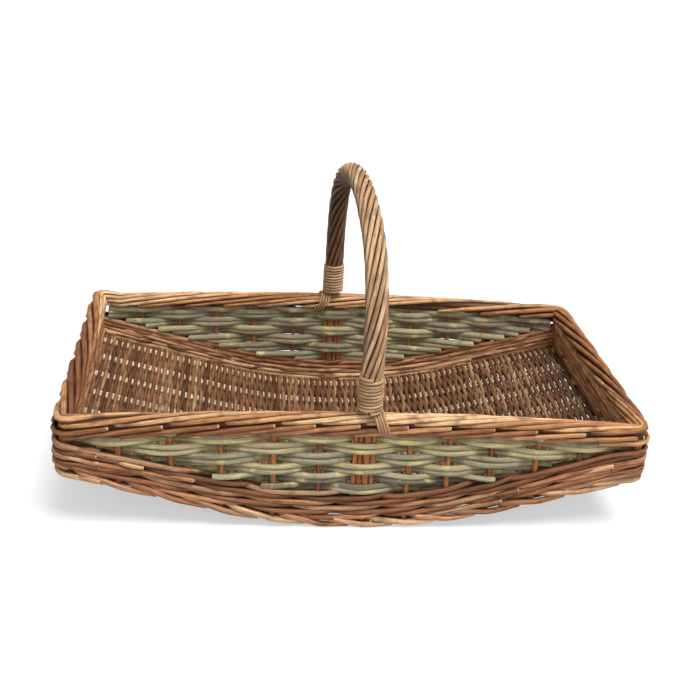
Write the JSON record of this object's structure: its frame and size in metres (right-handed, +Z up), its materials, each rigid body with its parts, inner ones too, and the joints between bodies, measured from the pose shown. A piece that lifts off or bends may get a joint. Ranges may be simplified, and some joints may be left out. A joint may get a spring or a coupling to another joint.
{
  "type": "garden trug basket",
  "caption": "Shallow oblong woven willow basket with a round belly, low walls, rolled border and a fixed roped hoop handle across the middle.",
  "frame": {"origin": "on the ground under the middle of the basket, at the lowest point of the belly", "axes": "+X along the basket's length, +Y from the front wall to the rear wall, +Z up"},
  "size_m": [0.6, 0.3554, 0.3265],
  "materials": {
    "green_willow": "unpeeled grey-green bark, matte",
    "cane": "split cane, satin",
    "dark_weave": "thin dark bark, matte",
    "pale_sticks": "peeled willow, matte",
    "handle_willow": "buff willow, satin",
    "border_willow": "buff and brown willow, satin",
    "stake_willow": "orange-brown willow, satin",
    "brown_willow": "brown willow, satin"
  },
  "bodies": {
    "root": {"base_stick_pair_1": "pale_sticks", "base_stick_pair_2": "pale_sticks", "base_stick_pair_3": "pale_sticks", "base_stick_pair_4": "pale_sticks", "base_stick_pair_5": "pale_sticks", "base_stick_pair_6": "pale_sticks", "base_stick_pair_7": "pale_sticks", "base_weave": "dark_weave", "front_foot": "brown_willow", "front_green_weave": "green_willow", "front_handle_stakes": "stake_willow", "front_lapping": "cane", "front_left_post": "stake_willow", "front_right_post": "stake_willow", "front_rim": "border_willow", "front_stake_1": "stake_willow", "front_stake_10": "stake_willow", "front_stake_2": "stake_willow", "front_stake_3": "stake_willow", "front_stake_4": "stake_willow", "front_stake_5": "stake_willow", "front_stake_6": "stake_willow", "front_stake_7": "stake_willow", "front_stake_8": "stake_willow", "front_stake_9": "stake_willow", "front_tie": "cane", "front_wale": "brown_willow", "handle_bow": "handle_willow", "handle_roping": "handle_willow", "left_end_foot": "brown_willow", "left_end_rim": "border_willow", "left_end_stakes": "stake_willow", "left_end_wale": "brown_willow", "rear_foot": "brown_willow", "rear_green_weave": "green_willow", "rear_handle_stakes": "stake_willow", "rear_lapping": "cane", "rear_left_post": "stake_willow", "rear_right_post": "stake_willow", "rear_rim": "border_willow", "rear_stake_1": "stake_willow", "rear_stake_10": "stake_willow", "rear_stake_2": "stake_willow", "rear_stake_3": "stake_willow", "rear_stake_4": "stake_willow", "rear_stake_5": "stake_willow", "rear_stake_6": "stake_willow", "rear_stake_7": "stake_willow", "rear_stake_8": "stake_willow", "rear_stake_9": "stake_willow", "rear_tie": "cane", "rear_wale": "brown_willow", "right_end_foot": "brown_willow", "right_end_rim": "border_willow", "right_end_stakes": "stake_willow", "right_end_wale": "brown_willow"}
  },
  "joints": []
}
